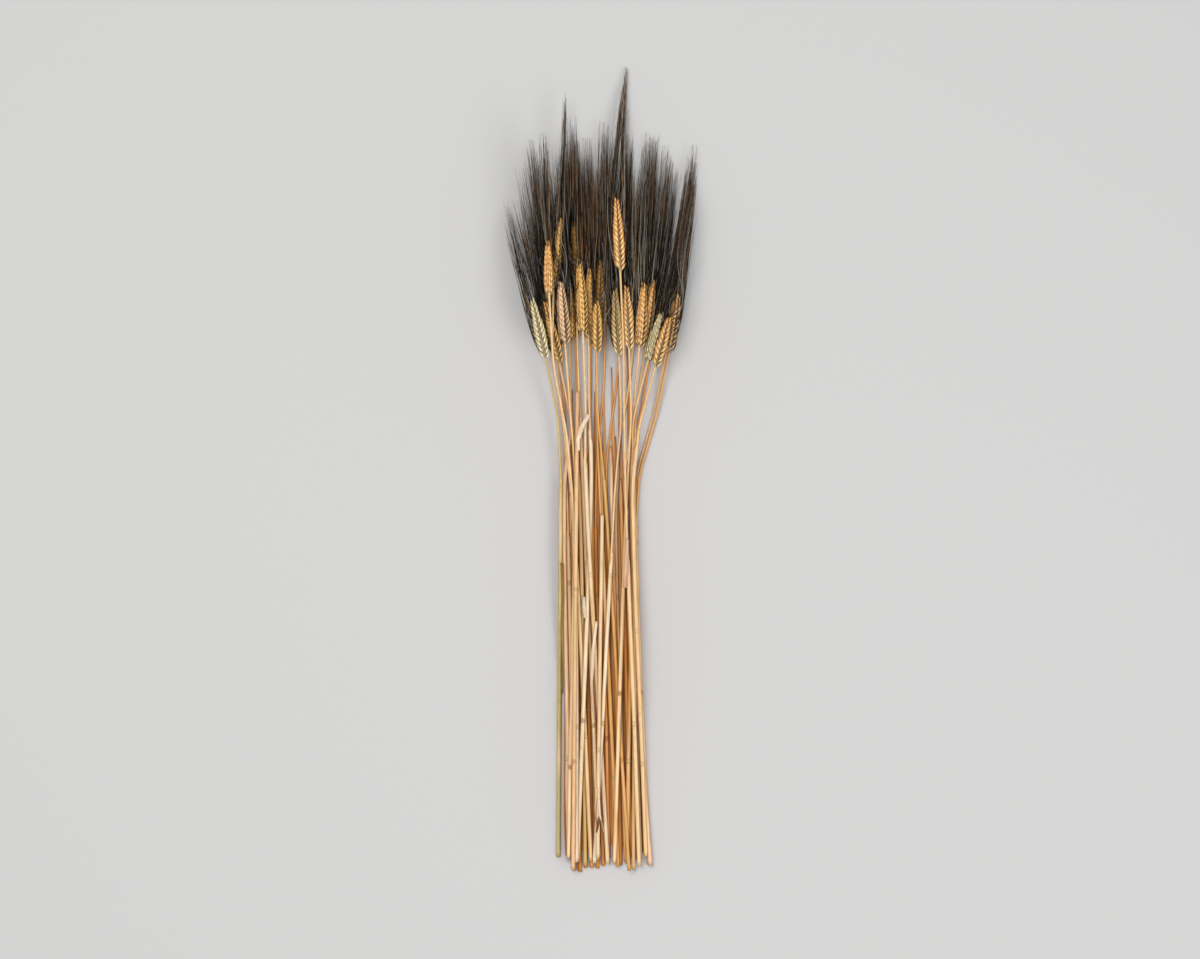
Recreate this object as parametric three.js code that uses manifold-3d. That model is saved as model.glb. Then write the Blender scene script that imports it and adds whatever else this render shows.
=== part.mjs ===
// A loose, untied bundle of dried black-awned wheat, lying on a flat surface.
//
// Millimetres, +Z up. The origin is on the surface, under the middle of the bundle. +Y runs
// from the cut ends of the straws to the tips of the awns, and +X runs across the bundle.
//
// Each stalk grew as one piece: a straw with its knot and leaf sheath, an ear of husks in two
// ranks, and a long awn on each husk. A stalk is shaped straight along Y first. Then its
// sections slide sideways to follow its centre line, which is found by laying the stalks down
// one by one, each resting on the surface and on the stalks under it. A few stalks have lost their
// ears, so only their straws are left.

import * as THREE from "three";
import { mergeVertices } from "three/addons/utils/BufferGeometryUtils.js";
import Module from "manifold-3d";

const wasm = await Module();
wasm.setup();

const { clamp, degToRad, lerp } = THREE.MathUtils;

// ---------------------------------------------------------------- driving sizes, mm

const SEED = 29; // for every random draw

// The bundle
const FOOT_Y = -351; // where the straws are cut
const FOOT_SCATTER = 8; // how far a cut lies from that line
const WAIST_Y = -25; // where the bundle is slimmest
const SHOULDER = 45; // length of the straw that still leans as the ear does
const REST_GAP = 0.3; // between stalks that lie on each other

// The straw
const SIDES = 6; // of the straw and the ear
const STRAW_RADIUS = 2; // inside its leaf sheath
const BARE_RADIUS = 1.35; // above the mouth of the sheath
const NECK_RADIUS = 1.05; // just under the ear
const BENDS = 8; // straight stretches from the cut end to the ear
const KNOT_RADIUS = 2.4;
const KNOT_HALF_LENGTH = 3;
const KNOT_HEIGHTS = [70, 165]; // above the cut end
const MOUTH_HEIGHTS = [270, 400]; // of the top leaf sheath's mouth, above the cut end
const MOUTH_LENGTH = 2;

// The ear. Its husks stand in two ranks, right and left, and take turns along it. Each rises
// slowly from the root out to the tip, and steps back in to the root of the next one.
const HUSK_PITCH = 4.1; // from a husk to the next one, which is in the other rank
const HUSK_TIP = [5.6, 4.2]; // half width across the ranks, and half thickness, at a husk's tip
const HUSK_ROOT = [3.6, 3.2]; // the same at its root
const HUSK_SLANT = 3.3; // how much further along the ear the tip of a husk is than its shoulders
const EAR_SHAPE = [0.7, 0.95, 1, 0.95, 0.85, 0.71, 0.5]; // size of the husks along the ear
const CROWN_LENGTH = 5; // from the last pair of husks to the tip of the ear

// The awns. Each leaves its husk near the tip, leans out until it is clear of the husks above,
// and then runs on with the tuft. The lowest two husks have none.
const FIRST_AWN = 2;
const AWN_SIDES = 3;
const AWN_RADIUS = 0.45; // from the root to the knee
const AWN_SHORTEST = 0.9; // as a share of the longest on its ear
const AWN_ROOT = [0.6, 0.2]; // across and through the ear, as a share of the tip of the husk
const AWN_ROOT_DEPTH = 3; // how far below the tip of the husk it starts
const AWN_KNEE = 11; // length of the stretch that leans out
const AWN_KNEE_OUT = 1.1; // how far out the knee is, as a share of the husk's tip
const AWN_ANGLES = [24, 62]; // round the ear, up or down from the side that its husk is on
const AWN_INSET = 0.9; // of the tips, in the room that the tuft takes
const TUFT_FULL = 0.1; // up to this share of its length the tuft is as wide as the ear
const TUFT_REACH = [6.6, 5.1]; // half width and half thickness of the tuft there
const TUFT_TIP_REACH = [4, 3]; // and at the awns' tips

// ---------------------------------------------------------------- where the stalks lie
//
// neck: [x, y] where the ear begins. lean and fan: how far the ear and its awns go in X for
// each millimetre in Y. ear and awns: their lengths. waist and foot: x where the bundle is
// slimmest and at the cut end. turn: degrees that the ear is rolled round its own axis, 0 with
// both ranks of husks in sight from above.

// The stalks on top of the bundle, from the lowest to the highest.
const TOP_STALKS = [
  { neck: [-45, 133], lean: -0.14, ear: 50, fan: -0.12, awns: 118, waist: -31, foot: -26, turn: 55 },
  { neck: [-24, 174], lean: -0.03, ear: 50, fan: -0.02, awns: 106, waist: -17, foot: -3, turn: 75 },
  { neck: [-4, 135], lean: 0.04, ear: 55, fan: 0.03, awns: 126, waist: -2, foot: 14, turn: 50 },
  { neck: [-29, 116], lean: 0.01, ear: 50, fan: -0.04, awns: 122, waist: -20, foot: -15, turn: 80 },
  { neck: [60, 109], lean: 0.15, ear: 50, fan: 0.12, awns: 136, waist: 31, foot: 22, turn: 45 },
  { neck: [-38, 96], lean: -0.25, ear: 57, fan: -0.17, awns: 118, waist: -34, foot: -28, turn: 30 },
  { neck: [-43, 164], lean: 0.09, ear: 63, fan: 0.04, awns: 107, waist: -27, foot: -10, turn: 62 },
  { neck: [-12, 121], lean: 0.01, ear: 61, fan: -0.02, awns: 120, waist: -10, foot: -22, turn: 70 },
  { neck: [-50, 99], lean: -0.23, ear: 55, fan: -0.27, awns: 92, waist: -37, foot: -39, turn: 8 },
  { neck: [-33, 113], lean: -0.07, ear: 56, fan: -0.08, awns: 122, waist: -24, foot: -30, turn: 40 },
  { neck: [-17, 121], lean: -0.05, ear: 70, fan: -0.03, awns: 116, waist: -14, foot: 5, turn: 60 },
  { neck: [38, 114], lean: 0.13, ear: 58, fan: 0.1, awns: 122, waist: 26, foot: 34, turn: 60 },
  { neck: [33, 109], lean: 0.07, ear: 59, fan: 0.06, awns: 130, waist: 20, foot: 43, turn: 64 },
  { neck: [-47, 155], lean: -0.02, ear: 50, fan: -0.05, awns: 114, waist: -26, foot: -23, turn: 78 },
  { neck: [40, 96], lean: 0.29, ear: 47, fan: 0.2, awns: 120, waist: 29, foot: 28, turn: 65 },
  { neck: [-5, 105], lean: 0, ear: 46, fan: 0.01, awns: 120, waist: 3, foot: 24, turn: 20 },
  { neck: [47, 92], lean: 0.28, ear: 47, fan: 0.18, awns: 116, waist: 27, foot: 39, turn: 10 },
  { neck: [15, 102], lean: -0.06, ear: 61, fan: 0, awns: 122, waist: 11, foot: -7, turn: 0 },
  { neck: [24, 107], lean: -0.05, ear: 60, fan: 0.03, awns: 120, waist: 22, foot: 11, turn: 12 },
  { neck: [16, 177], lean: -0.06, ear: 68, fan: 0.08, awns: 118, waist: 21, foot: 33, turn: 12 },
];

// Those under them lie side by side, with their ears a little higher or lower.
const UNDER_COUNT = 8;
const UNDER_NECK_X = [-38, 58];
const UNDER_NECK_Y = [98, 150];
const UNDER_EAR = [50, 62];
const UNDER_AWNS = [112, 122];
const UNDER_FAN = 0.0027; // lean of the ear and the awns for each millimetre off the middle
const UNDER_WAIST = [-33, 30];
const UNDER_FOOT = [-30, 42];
const UNDER_TURN = [0, 90];

// Straws that have lost their ears, straight from the cut end to where they broke off, at top. The
// low ones lie between the stalks that the top ones hide, and the high ones lie over them all.
const LOW_STRAWS = 6;
const LOW_TOP_Y = [-40, 60];
const HIGH_STRAWS = [
  { top: [-22, 71], foot: -26 },
  { top: [0, -39], foot: -4 },
];

// ---------------------------------------------------------------- helpers

// A repeatable source of numbers from 0 to 1.
function seededRandom(seed) {
  return () => {
    seed = (seed + 0x6d2b79f5) | 0;
    let t = Math.imul(seed ^ (seed >>> 15), 1 | seed);
    t = (t + Math.imul(t ^ (t >>> 7), 61 | t)) ^ t;
    return ((t ^ (t >>> 14)) >>> 0) / 2 ** 32;
  };
}

const random = seededRandom(SEED);
const between = ([low, high]) => lerp(low, high, random());
const scatter = (reach) => between([-reach, reach]);

// The value at y of a list of [y, ...values], straight between its entries.
function valuesAt(list, y) {
  let k = 1;
  while (k < list.length - 1 && y > list[k][0]) k += 1;
  const [from, to] = [list[k - 1], list[k]];
  const share = (y - from[0]) / (to[0] - from[0]);
  return from.slice(1).map((value, i) => lerp(value, to[i + 1], share));
}

// Turns a point round the Y axis.
function rolled(x, z, angle) {
  const [cos, sin] = [Math.cos(angle), Math.sin(angle)];
  return [x * cos + z * sin, z * cos - x * sin];
}

// Moves each vertex to where place(x, y, z) puts it.
function reshape(geometry, place) {
  const at = geometry.getAttribute("position");
  for (let i = 0; i < at.count; i += 1) at.setXYZ(i, ...place(at.getX(i), at.getY(i), at.getZ(i)));
  return geometry;
}

// A body round the Y axis from its profile, a list of [y, radius] that starts and ends on the axis.
function spindle(profile, sides, firstAngle = 0) {
  const points = profile.map(([y, radius]) => new THREE.Vector2(radius, y));
  return new THREE.LatheGeometry(points, sides, firstAngle);
}

function solidOf(geometry) {
  geometry.deleteAttribute("normal");
  geometry.deleteAttribute("uv");
  const merged = mergeVertices(geometry, 1e-4);
  return new wasm.Manifold(
    new wasm.Mesh({
      numProp: 3,
      vertProperties: merged.getAttribute("position").array,
      triVerts: new Uint32Array(merged.index.array),
    }),
  );
}

function geometryOf(solid) {
  const { vertProperties, triVerts } = solid.getMesh();
  return new THREE.BufferGeometry()
    .setAttribute("position", new THREE.BufferAttribute(vertProperties, 3))
    .setIndex(new THREE.BufferAttribute(triVerts, 1));
}

// ---------------------------------------------------------------- the plan of a stalk

// The stalks that the top ones hide.
function underStalks() {
  return Array.from({ length: UNDER_COUNT }, (_, i) => {
    const place = i / (UNDER_COUNT - 1);
    const x = lerp(...UNDER_NECK_X, place);
    return {
      neck: [x, between(UNDER_NECK_Y)],
      lean: UNDER_FAN * x,
      ear: between(UNDER_EAR),
      fan: UNDER_FAN * x,
      awns: between(UNDER_AWNS),
      waist: lerp(...UNDER_WAIST, place),
      foot: lerp(...UNDER_FOOT, place),
      turn: between(UNDER_TURN),
    };
  });
}

// The lowest straws without ears.
function lowStraws() {
  return Array.from({ length: LOW_STRAWS }, (_, i) => {
    const place = (i + 0.5) / (UNDER_COUNT - 1);
    return {
      top: [lerp(...UNDER_WAIST, place), between(LOW_TOP_Y)],
      foot: lerp(...UNDER_FOOT, place),
    };
  });
}

// A list of [y, radius] up a straw from its cut end, over its knot, to the end of its leaf sheath.
function sheathedStraw(footY, sheathEndY) {
  const knotY = footY + between(KNOT_HEIGHTS);
  return [
    [footY, STRAW_RADIUS],
    [knotY - KNOT_HALF_LENGTH, STRAW_RADIUS],
    [knotY, KNOT_RADIUS],
    [knotY + KNOT_HALF_LENGTH, STRAW_RADIUS],
    [sheathEndY, STRAW_RADIUS],
  ];
}

// Works out the centre line of a straw without an ear, seen from above, and the room it takes.
function planBroken({ top: [topX, topY], foot }) {
  const footY = FOOT_Y + scatter(FOOT_SCATTER);
  const route = new THREE.LineCurve(new THREE.Vector2(foot, footY), new THREE.Vector2(topX, topY));
  const line = route.getSpacedPoints(BENDS).map(({ x, y }) => [y, x, 0]);
  const straw = sheathedStraw(footY, topY);
  const half = straw.map(([y, radius]) => [y, radius, radius]);
  return { line, straw, half, neckY: topY, earTipY: topY, awnTipY: topY, awns: 0, turn: 0 };
}

// Works out the heights along a stalk, its centre line seen from above and the room it takes.
function planStalk({ neck: [neckX, neckY], lean, ear, fan, awns, waist, foot, turn }) {
  const footY = FOOT_Y + scatter(FOOT_SCATTER);
  const earTipY = neckY + ear;
  const earTipX = neckX + lean * ear;
  const awnTipY = earTipY + awns;

  const route = new THREE.SplineCurve([
    new THREE.Vector2(foot, footY),
    new THREE.Vector2(waist, WAIST_Y),
    new THREE.Vector2(neckX - SHOULDER * lean, neckY - SHOULDER),
    new THREE.Vector2(neckX, neckY),
  ]).getSpacedPoints(BENDS);
  const line = route.map(({ x, y }) => [y, x, 0]);
  line.push([earTipY, earTipX, 0], [awnTipY, earTipX + fan * awns, 0]);

  const mouthY = footY + between(MOUTH_HEIGHTS);
  const straw = [
    ...sheathedStraw(footY, mouthY),
    [mouthY + MOUTH_LENGTH, BARE_RADIUS],
    [neckY, NECK_RADIUS],
  ];
  // [y, half width, half thickness] of the room that the stalk takes, the ear and the awns included
  const half = [
    ...straw.map(([y, radius]) => [y, radius, radius]),
    [neckY + HUSK_PITCH, ...TUFT_REACH],
    [earTipY + TUFT_FULL * awns, ...TUFT_REACH],
    [awnTipY, ...TUFT_TIP_REACH],
  ];
  return { line, straw, half, neckY, earTipY, awnTipY, awns, turn: degToRad(turn) };
}

// ---------------------------------------------------------------- laying the stalks down

const SAMPLE_STEP = 3; // along Y, between the places where heights are compared
const SINK_ROUNDS = 400;
const SINK_STEP = 0.4; // how far a stalk sinks in the first round
const DROOP = 5; // how far a bend can hang below the straight line between its neighbours
const UP = Math.PI / 2;
const CONTACT_STEPS = 12; // half a turn is searched for the side where two stalks touch
const CONTACT_ANGLES = Array.from(
  { length: CONTACT_STEPS - 1 },
  (_, i) => (Math.PI * (i + 1)) / CONTACT_STEPS,
);

// How far the section of a stalk at y reaches towards an angle, 0 for +X and a right angle for up.
function reachOf(stalk, y, angle) {
  const [wide, thick] = valuesAt(stalk.half, y);
  return Math.hypot(wide * Math.cos(angle + stalk.turn), thick * Math.sin(angle + stalk.turn));
}

// How far the centre of a stalk is above that of the one it rests on, which is aside in X by so much.
function riseOver(stalk, under, y, aside) {
  const reach = (angle) => reachOf(stalk, y, angle) + reachOf(under, y, angle) + REST_GAP;
  if (Math.abs(aside) >= reach(0)) return -Infinity;
  return Math.min(
    ...CONTACT_ANGLES.map((angle) => (reach(angle) - aside * Math.cos(angle)) / Math.sin(angle)),
  );
}

// The lowest that the centre of a stalk can be at y: on the surface, or on a stalk under it.
function lowestAt(stalk, y, under) {
  const [x] = valuesAt(stalk.line, y);
  // a straw has a flat side down, and its knot is flattened where it lies on the surface
  const onSurface =
    y <= stalk.neckY
      ? Math.min(reachOf(stalk, y, UP), STRAW_RADIUS) * Math.cos(Math.PI / SIDES)
      : reachOf(stalk, y, UP);
  const heights = under
    .filter((other) => y >= other.line[0][0] && y <= other.awnTipY)
    .map((other) => {
      const [otherX, otherZ] = valuesAt(other.line, y);
      return otherZ + riseOver(stalk, other, y, x - otherX);
    });
  return Math.max(onSurface, ...heights);
}

// Lifts the two bends on either side of y, by the least that brings the line there up to height.
function liftTo(line, y, height) {
  let k = 1;
  while (k < line.length - 1 && y > line[k][0]) k += 1;
  const [from, to] = [line[k - 1], line[k]];
  const share = (y - from[0]) / (to[0] - from[0]);
  const missing = height - lerp(from[2], to[2], share);
  if (missing <= 0) return;
  const weight = (1 - share) ** 2 + share ** 2;
  from[2] += (missing * (1 - share)) / weight;
  to[2] += (missing * share) / weight;
}

// Lets a stalk sink until it rests on what is under it. Its straw and ear are stiff, so a bend is
// pulled towards the straight line through the two bends next to it. Its awns only sink.
function layDown(stalk, under) {
  const { line, awns, awnTipY } = stalk;
  const rests = [];
  for (let y = line[0][0]; y < awnTipY; y += SAMPLE_STEP) rests.push([y, lowestAt(stalk, y, under)]);
  rests.push([awnTipY, lowestAt(stalk, awnTipY, under)]);
  const top = Math.max(...rests.map(([, height]) => height));
  for (const bend of line) bend[2] = top;

  for (let round = 0; round < SINK_ROUNDS; round += 1) {
    const sink = SINK_STEP * (1 - round / SINK_ROUNDS);
    const before = line.map(([y, , z]) => [y, z]);
    line.forEach((bend, k) => {
      const near = before.filter((_, i) => i !== k).slice(clamp(k - 1, 0, before.length - 3)).slice(0, 2);
      const [straight] = valuesAt(near, bend[0]);
      const isAwnTip = awns > 0 && k === line.length - 1;
      const spring = isAwnTip ? 0 : (straight - bend[2]) / DROOP;
      bend[2] += sink * (spring - 1);
    });
    for (const [y, height] of rests) liftTo(line, y, height);
  }
  for (const [y, height] of [...rests, ...rests.toReversed()]) liftTo(line, y, height);
}

// ---------------------------------------------------------------- the solid of a stalk

const huskCount = ({ neckY, earTipY }) =>
  Math.max(0, Math.round((earTipY - CROWN_LENGTH - neckY) / HUSK_PITCH));
const huskY = (stalk, index) => stalk.neckY + (index + 1) * HUSK_PITCH;

// How big the husk is that many steps up the ear, as a share of the biggest.
function huskSize(stalk, index) {
  const steps = EAR_SHAPE.map((size, i) => [i / (EAR_SHAPE.length - 1), size]);
  return valuesAt(steps, index / (huskCount(stalk) - 1))[0];
}

// The straw with its knot and sheath, and any ear on it, with the husks raised from its surface.
function strawAndEar(stalk) {
  const { line, straw, earTipY } = stalk;
  const bends = line.slice(1, BENDS).map(([y]) => [y, valuesAt(straw, y)[0]]);
  const rings = [...straw, ...bends].sort((a, b) => a[0] - b[0]);
  const count = huskCount(stalk);
  const huskRings = Array.from({ length: count }, (_, index) => [huskY(stalk, index), 1]);
  const profile = [[rings[0][0], 0], ...rings, ...huskRings, [earTipY, 0]];

  // whole facets are turned back here, so that the ear's own turn doesn't wring its neck
  const facet = (2 * Math.PI) / SIDES;
  const turnBack = -facet * Math.round(stalk.turn / facet);

  return reshape(spindle(profile, SIDES, Math.PI / SIDES), (x, y, z) => {
    const index = Math.round((y - stalk.neckY) / HUSK_PITCH) - 1;
    if (index < 0 || index >= count) return [x, y, z];
    const [across, through] = rolled(x, z, turnBack);
    const isTip = (index % 2 === 0) === (across > 0);
    const [wide, thick] = isTip ? HUSK_TIP : HUSK_ROOT;
    const size = huskSize(stalk, index);
    return [across * size * wide, y + (isTip ? HUSK_SLANT * Math.abs(across) : 0), through * size * thick];
  });
}

// An awn, from inside its husk over its knee to its own place in the tuft.
function awn(stalk, index) {
  const step = Math.floor(index / 2);
  const side = index % 2 === 0 ? 1 : -1;
  const up = step % 2 === 0 ? 1 : -1;
  const angle = up * degToRad(AWN_ANGLES[Math.floor(step / 2) % 2]);
  const [tipWide, tipThick] = HUSK_TIP.map((reach) => reach * huskSize(stalk, index));
  const [rootOut, rootUp] = AWN_ROOT;

  const rootY = huskY(stalk, index) + HUSK_SLANT - AWN_ROOT_DEPTH;
  const kneeY = Math.min(rootY + AWN_KNEE, stalk.earTipY);
  const endY = Math.min(rootY + stalk.awns * between([AWN_SHORTEST, 1]), stalk.awnTipY);
  const [wide, thick] = valuesAt(stalk.half, endY);
  const way = [
    [rootY, side * rootOut * tipWide, up * rootUp * tipThick],
    [kneeY, side * AWN_KNEE_OUT * tipWide * Math.cos(angle), AWN_KNEE_OUT * tipThick * Math.sin(angle)],
    [endY, side * AWN_INSET * wide * Math.cos(angle), AWN_INSET * thick * Math.sin(angle)],
  ];

  // the centre line of the stalk bends at the tip of the ear, so an awn that passes it does too
  const rings = [...new Set([rootY, kneeY, stalk.earTipY])].map((y) => [y, AWN_RADIUS]);
  const body = spindle([[rootY, 0], ...rings, [endY, 0]], AWN_SIDES);
  return reshape(body, (x, y, z) => {
    const [toX, toZ] = valuesAt(way, y);
    return [x + toX, y, z + toZ];
  });
}

// The whole stalk, with its ear turned and its sections slid to its centre line.
function stalkSolid(stalk) {
  const awns = Array.from({ length: huskCount(stalk) - FIRST_AWN }, (_, i) => awn(stalk, i + FIRST_AWN));
  const pieces = [strawAndEar(stalk), ...awns].map((piece) =>
    reshape(piece, (x, y, z) => {
      const [across, up] = rolled(x, z, y > stalk.neckY ? stalk.turn : 0);
      const [toX, toZ] = valuesAt(stalk.line, y);
      return [across + toX, y, Math.max(up + toZ, 0)];
    }),
  );
  return wasm.Manifold.union(pieces.map(solidOf));
}

// ---------------------------------------------------------------- the bundle

const STRAW_COLOURS = [0xd9b27c, 0xe2c08c, 0xcfa566, 0xc9b577];
const DRY_ROUGHNESS = 0.65;

const bundle = new THREE.Group();

// Adds a stalk to the bundle, named by its kind and how many of that kind there are by then.
function addStalk(stalk, kind) {
  const number = bundle.children.filter(({ name }) => name.startsWith(kind)).length + 1;
  const material = new THREE.MeshStandardMaterial({
    color: STRAW_COLOURS[number % STRAW_COLOURS.length],
    roughness: DRY_ROUGHNESS,
    metalness: 0,
  });
  const mesh = new THREE.Mesh(geometryOf(stalkSolid(stalk)), material);
  mesh.name = `${kind}_${String(number).padStart(2, "0")}`;
  bundle.add(mesh);
}

const stalks = [];
for (const place of [...underStalks(), ...lowStraws(), ...TOP_STALKS, ...HIGH_STRAWS]) {
  const stalk = place.top ? planBroken(place) : planStalk(place);
  layDown(stalk, stalks);
  stalks.push(stalk);
}
for (const stalk of stalks) addStalk(stalk, stalk.awns > 0 ? "wheat_stalk" : "broken_straw");

const box = new THREE.Box3().setFromObject(bundle);
const middle = box.getCenter(new THREE.Vector3());
bundle.position.set(-middle.x, -middle.y, -box.min.z);

export default bundle;
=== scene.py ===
"""A loose bundle of dried, black-awned wheat, lying on a pale table under soft studio light.

Every stalk is read off its solid in the frame: where its straw bends, where its knot and the
mouth of its leaf sheath are, how its ear is rolled and where its awns end. Three pieces then
stand for the solid: the straw, the ear with all its husks, and the awns. A broken straw has only
the first of them. Scraps of dried leaf lie on the uppermost straws, and long thin leaves lie
under them all.
"""

import math
import random

import bmesh
import bpy
import numpy as np
from bpy.props import FloatProperty, FloatVectorProperty, IntProperty, PointerProperty
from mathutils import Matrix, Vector


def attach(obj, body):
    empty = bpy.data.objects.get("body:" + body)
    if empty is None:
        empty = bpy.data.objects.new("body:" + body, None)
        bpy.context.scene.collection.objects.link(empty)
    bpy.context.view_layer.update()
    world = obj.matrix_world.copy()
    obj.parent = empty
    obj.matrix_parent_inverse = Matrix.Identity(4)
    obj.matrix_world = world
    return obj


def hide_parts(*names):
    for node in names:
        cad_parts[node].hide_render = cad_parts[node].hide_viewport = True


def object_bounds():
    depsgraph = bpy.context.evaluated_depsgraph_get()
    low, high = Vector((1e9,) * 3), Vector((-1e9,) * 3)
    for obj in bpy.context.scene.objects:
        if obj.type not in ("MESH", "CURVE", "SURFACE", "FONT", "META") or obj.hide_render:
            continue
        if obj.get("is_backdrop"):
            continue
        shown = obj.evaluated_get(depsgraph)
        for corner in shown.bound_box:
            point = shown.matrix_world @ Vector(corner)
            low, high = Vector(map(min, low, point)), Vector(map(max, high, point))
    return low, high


bl_info = {
    "name": "Dried Wheat Bundle",
    "version": (1, 0, 0),
    "blender": (4, 5, 0),
    "location": "View3D > Sidebar > Wheat",
    "description": "Straws, husked ears and long dark awns around a packed bundle of wheat stalks",
    "category": "Object",
}

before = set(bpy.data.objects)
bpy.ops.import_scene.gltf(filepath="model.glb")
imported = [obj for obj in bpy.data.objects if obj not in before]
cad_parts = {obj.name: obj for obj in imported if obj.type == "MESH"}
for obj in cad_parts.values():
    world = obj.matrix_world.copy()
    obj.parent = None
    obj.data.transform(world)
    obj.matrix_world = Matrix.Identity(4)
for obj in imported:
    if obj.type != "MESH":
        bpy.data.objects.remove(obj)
cad_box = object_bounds()

MM = 0.001
UP = Vector((0, 0, 1))
ACROSS = Vector((1, 0, 0))
SEED = 29


def colour(code):
    """An sRGB hex colour as the linear red, green, blue and alpha that shaders work in."""
    channels = [int(code[i : i + 2], 16) / 255 for i in (1, 3, 5)]
    return [c / 12.92 if c <= 0.04045 else ((c + 0.055) / 1.055) ** 2.4 for c in channels] + [1.0]


# ------------ the look of each stalk

STRAW_COLOURS = {
    "tan": colour("#FFDDA6"),
    "pale": colour("#FFEBC4"),
    "golden": colour("#EAAC58"),
    # amber is painted shade: a darker, more saturated straw colour given to the straws that lie under
    # the others
    "amber": colour("#E29038"),
    "olive": colour("#D0BE74"),
    "pink": colour("#FFD4AA"),
}
# the stalks with an ear have only their numbers here, and those that aren't listed are tan
STRAW_COLOUR_OF = {
    "01": "amber", "02": "amber", "03": "amber", "04": "amber", "05": "amber", "07": "amber",
    "11": "golden", "12": "olive", "13": "golden", "14": "pink", "16": "pale", "17": "olive",
    "19": "pale", "21": "pink", "22": "pale", "24": "golden", "26": "pale",
}
# the low broken straws are amber as painted shade, since they lie under the others
BROKEN_COLOUR_OF = {"07": "pink", "08": "pale"}  # the other broken straws are amber

# the husks at their root and at their tip, and the nerve along their keel
EAR_COLOURS = {
    "gold": ("#FCDC94", "#EFA63C", "#3E2A12"),
    "green": ("#FFF6CE", "#DCC888", "#2C2A18"),
    "orange": ("#FFE5A6", "#F29C3C", "#352212"),
    "amber": ("#FFE6A4", "#F8A038", "#8A4412"),
    "brown": ("#EBC074", "#CC8228", "#3A2612"),
    "pink": ("#FFE6BC", "#F2BE8C", "#2B201A"),
    "cream": ("#FFEAB0", "#FFCA78", "#2A2016"),
}
EAR_COLOUR_OF = {  # the others are gold
    "10": "brown", "11": "brown", "13": "orange", "17": "green", "18": "pink", "20": "orange",
    "21": "orange", "22": "amber", "23": "green", "25": "orange", "26": "cream", "27": "orange",
    "28": "amber",
}

TRODDEN = "14"  # the stalk whose straw has been trodden flat at its cut end
TRODDEN_LENGTH = 110 * MM


# ------------ the stalks of the frame

STALK_SIDES = 6  # of the solids' straws
SAME_SECTION = 1e-5  # corners that are nearer than this along Y are on one section
LINE_STEP = 1 * MM
LINE_SMOOTHING = 25  # steps that a bend is rounded over
KINK = 0.5 * MM  # how far a straw is bent aside at its knot
UPPER_KNOT = (110 * MM, 170 * MM)  # from the knot to a second, fainter one
LAST_UNDER = "08"  # the ears up to this number are hidden under the others


class Stalk:
    """Where a stalk runs, read off the sections of its solid."""

    def __init__(self, node):
        self.node = node.name
        self.number = node.name[-2:]
        self.has_ear = node.name.startswith("wheat_stalk")
        self.random = random.Random(f"{SEED} {node.name}")
        corners = np.array([vertex.co for vertex in node.data.vertices], float)
        corners = np.unique(corners.round(6), axis=0)
        corners = corners[corners[:, 1].argsort()]
        gaps = np.flatnonzero(np.diff(corners[:, 1]) > SAME_SECTION) + 1
        sections = np.split(corners, gaps)

        # a section of the straw is a hexagon, and at the cut it has a middle too
        rings = [s for s in sections if len(s) in (STALK_SIDES, STALK_SIDES + 1)]
        self.ring_y = np.array([r[0, 1] for r in rings])
        self.ring_radius = np.array([np.ptp(r[:, 0]) / 2 for r in rings])
        flat = math.cos(math.pi / STALK_SIDES)
        ring_x = [r[:, 0].mean() for r in rings]
        ring_z = [r[:, 2].max() - flat * radius for r, radius in zip(rings, self.ring_radius)]
        self.foot, self.neck = self.ring_y[0], self.ring_y[-1]
        self.knot = self.ring_y[self.ring_radius.argmax()]
        self.upper_knot = self.knot + self.random.uniform(*UPPER_KNOT)
        self.mouth = self.ring_y[self.ring_radius > 0.99 * self.ring_radius[0]][-1]

        end = Vector((ring_x[-1], self.neck, ring_z[-1]))
        if self.has_ear:
            end = self.read_ear(sections, corners)
        along = np.arange(self.foot, end.y, LINE_STEP)
        self.line_y = along
        kink = self.random.uniform(-KINK, KINK)
        bends = [*self.ring_y, end.y]
        self.line_x = rounded(np.interp(along, bends, [*ring_x, end.x]))
        self.line_x += kink * np.interp(along, [self.foot, self.knot, self.mouth], [0, 1, 0])
        self.line_z = rounded(np.interp(along, bends, [*ring_z, end.z]))
        if self.has_ear:
            self.read_roll(corners)

    def read_ear(self, sections, corners):
        """Finds where the ear and its awns end. Gives the tip of the ear."""
        # all the awns have a ring where the ear ends, and only their tips are beyond it
        ear_end = max((s for s in sections if s[0, 1] > self.neck), key=len)
        self.ear_tip = Vector(ear_end.mean(0))
        tips = corners[corners[:, 1] > self.ear_tip.y + SAME_SECTION]
        self.tuft_way = Vector(tips.mean(0)) - self.ear_tip
        self.tuft_way /= self.tuft_way.y
        self.awn_tip = tips[:, 1].max()
        return self.ear_tip

    def read_roll(self, corners):
        """Finds how the ear is rolled: its two ranks of husks are along its wider side."""
        husks = corners[(corners[:, 1] > self.neck) & (corners[:, 1] < self.ear_tip.y)]
        centres = np.array([self.place(y) for y in husks[:, 1]])
        spread = (husks - centres)[:, [0, 2]]
        _, axes = np.linalg.eigh(spread.T @ spread)
        self.ear_foot = self.place(self.neck)
        self.ear_axis = axis = (self.ear_tip - self.ear_foot).normalized()
        rank = Vector((axes[0, 1], 0, axes[1, 1]))
        self.rank = (rank - axis * rank.dot(axis)).normalized()
        self.face = self.rank.cross(axis)

    def place(self, y):
        """The centre of the straw or the ear at y."""
        x = np.interp(y, self.line_y, self.line_x)
        z = np.interp(y, self.line_y, self.line_z)
        return Vector((x, y, z))

    def heading(self, y):
        """The way that the straw runs at y."""
        return (self.place(y + 2 * LINE_STEP) - self.place(y - 2 * LINE_STEP)).normalized()


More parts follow.
